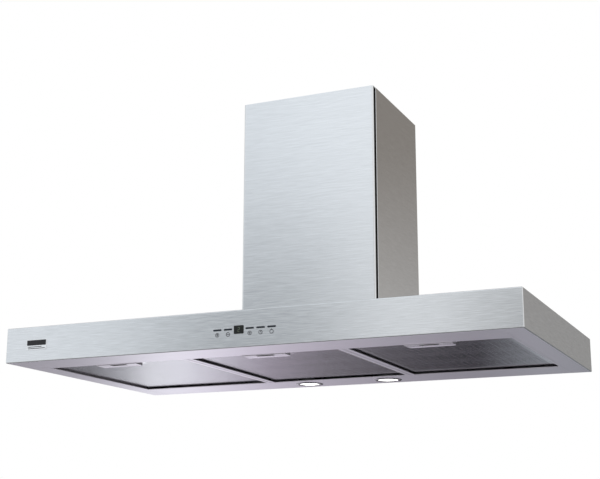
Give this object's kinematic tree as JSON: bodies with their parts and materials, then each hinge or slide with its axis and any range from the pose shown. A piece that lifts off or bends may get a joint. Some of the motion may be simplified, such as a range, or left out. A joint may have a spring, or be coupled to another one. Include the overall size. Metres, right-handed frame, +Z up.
{
  "type": "range hood",
  "caption": "Wall-mounted stainless range hood with a flat box canopy, perforated grease filters, round lamps, slim push buttons and a telescopic rectangular chimney.",
  "frame": {"origin": "on the wall plane, at the middle of the canopy's lower rear edge", "axes": "+X to the right seen from the front, +Y towards the wall, +Z up"},
  "size_m": [0.9, 0.5009, 0.5116],
  "materials": {
    "canopy_steel": "fine horizontal brushing",
    "underside_steel": "satin, fine brushing",
    "cover_steel": "fine brushing across",
    "gap_steel": "dark matt",
    "grille_steel": "perforated, satin",
    "frame_aluminium": "satin",
    "filter_mesh": "layered expanded mesh",
    "latch_metal": "satin",
    "galvanised": "galvanised",
    "scroll_steel": "galvanised sheet",
    "impeller_plastic": "moulded",
    "motor_enamel": "satin enamel",
    "shaft_steel": "ground",
    "capacitor_shell": "gloss",
    "collar_plastic": "moulded",
    "box_plastic": "moulded",
    "board_laminate": "green lacquer",
    "display_glass": "dark gloss",
    "display_body": "moulded",
    "key_metal": "satin",
    "bezel_chrome": "polished",
    "lamp_glass": "frosted",
    "bulb_glass": "reflector lamp",
    "badge_metal": "satin",
    "wire_sleeve": "insulation",
    "screw_steel": "zinc plated"
  },
  "bodies": {
    "hood": {"canopy_shell": "canopy_steel", "front_rail": "underside_steel", "side_rails": "underside_steel", "lamp_panel": "underside_steel", "divider_left": "underside_steel", "divider_right": "underside_steel", "badge_plate": "badge_metal", "wall_mounting_plate": "galvanised", "control_housing": "box_plastic", "control_board": "board_laminate", "display_window": "display_glass", "display_module": "display_body", "button_switches": "box_plastic", "lamp_bezel_left": "bezel_chrome", "lamp_bezel_right": "bezel_chrome", "lamp_lenses": "lamp_glass", "lamp_cans": "galvanised", "lamp_bulbs": "bulb_glass", "lamp_transformer": "motor_enamel", "airbox": "galvanised", "scroll_housing": "scroll_steel", "motor": "motor_enamel", "motor_bracket": "galvanised", "run_capacitor": "capacitor_shell", "outlet_collar": "collar_plastic", "damper_pin": "shaft_steel", "terminal_box": "box_plastic", "cable_gland": "box_plastic", "internal_wiring": "wire_sleeve", "chimney_front_panel": "cover_steel", "chimney_side_left": "cover_steel", "chimney_side_right": "cover_steel", "gap_channels": "gap_steel", "canopy_screws": "screw_steel", "chimney_screws": "screw_steel", "bracket_screws": "screw_steel"},
    "button_light": {"button_light": "key_metal"},
    "button_speed_down": {"button_speed_down": "key_metal"},
    "button_speed_up": {"button_speed_up": "key_metal"},
    "button_timer": {"button_timer": "key_metal"},
    "button_power": {"button_power": "key_metal"},
    "filter_left": {"filter_frame_left": "frame_aluminium", "filter_grille_left": "grille_steel", "filter_mesh_left": "filter_mesh"},
    "latch_left": {"filter_latch_left": "latch_metal"},
    "filter_centre": {"filter_frame_centre": "frame_aluminium", "filter_grille_centre": "grille_steel", "filter_mesh_centre": "filter_mesh"},
    "latch_centre": {"filter_latch_centre": "latch_metal"},
    "filter_right": {"filter_frame_right": "frame_aluminium", "filter_grille_right": "grille_steel", "filter_mesh_right": "filter_mesh"},
    "latch_right": {"filter_latch_right": "latch_metal"},
    "fan": {"impeller": "impeller_plastic", "motor_shaft": "shaft_steel"},
    "flap_front": {"damper_flap_front": "collar_plastic"},
    "flap_rear": {"damper_flap_rear": "collar_plastic"},
    "upper_cover": {"upper_chimney_cover": "cover_steel", "upper_cover_bracket": "galvanised"}
  },
  "joints": [
    {"name": "light_press", "type": "slide", "parent": "hood", "child": "button_light", "axis": [0, 1, 0], "range_m": [0, 0.0007], "stiffness_N_per_m": 400, "springref_m": -0.001},
    {"name": "speed_down_press", "type": "slide", "parent": "hood", "child": "button_speed_down", "axis": [0, 1, 0], "range_m": [0, 0.0007], "stiffness_N_per_m": 400, "springref_m": -0.001},
    {"name": "speed_up_press", "type": "slide", "parent": "hood", "child": "button_speed_up", "axis": [0, 1, 0], "range_m": [0, 0.0007], "stiffness_N_per_m": 400, "springref_m": -0.001},
    {"name": "timer_press", "type": "slide", "parent": "hood", "child": "button_timer", "axis": [0, 1, 0], "range_m": [0, 0.0007], "stiffness_N_per_m": 400, "springref_m": -0.001},
    {"name": "power_press", "type": "slide", "parent": "hood", "child": "button_power", "axis": [0, 1, 0], "range_m": [0, 0.0007], "stiffness_N_per_m": 400, "springref_m": -0.001},
    {"name": "filter_left_swing", "type": "hinge", "parent": "hood", "child": "filter_left", "pos_m": [-0.27967, -0.092, 0.005], "axis": [1, 0, 0], "range_deg": [0, 65]},
    {"name": "latch_left_slide", "type": "slide", "parent": "filter_left", "child": "latch_left", "axis": [0, 1, 0], "range_m": [0, 0.005], "stiffness_N_per_m": 300, "springref_m": -0.004},
    {"name": "filter_centre_swing", "type": "hinge", "parent": "hood", "child": "filter_centre", "pos_m": [0, -0.092, 0.005], "axis": [1, 0, 0], "range_deg": [0, 65]},
    {"name": "latch_centre_slide", "type": "slide", "parent": "filter_centre", "child": "latch_centre", "axis": [0, 1, 0], "range_m": [0, 0.005], "stiffness_N_per_m": 300, "springref_m": -0.004},
    {"name": "filter_right_swing", "type": "hinge", "parent": "hood", "child": "filter_right", "pos_m": [0.27967, -0.092, 0.005], "axis": [1, 0, 0], "range_deg": [0, 65]},
    {"name": "latch_right_slide", "type": "slide", "parent": "filter_right", "child": "latch_right", "axis": [0, 1, 0], "range_m": [0, 0.005], "stiffness_N_per_m": 300, "springref_m": -0.004},
    {"name": "fan_spin", "type": "hinge", "parent": "hood", "child": "fan", "pos_m": [0, -0.115, 0.1655], "axis": [1, 0, 0], "continuous": true},
    {"name": "flap_front_lift", "type": "hinge", "parent": "hood", "child": "flap_front", "pos_m": [0, -0.115, 0.346], "axis": [-1, 0, 0], "range_deg": [0, 70]},
    {"name": "flap_rear_lift", "type": "hinge", "parent": "hood", "child": "flap_rear", "pos_m": [0, -0.115, 0.346], "axis": [1, 0, 0], "range_deg": [0, 70]},
    {"name": "upper_cover_rise", "type": "slide", "parent": "hood", "child": "upper_cover", "axis": [0, 0, 1], "range_m": [0, 0.34]}
  ]
}
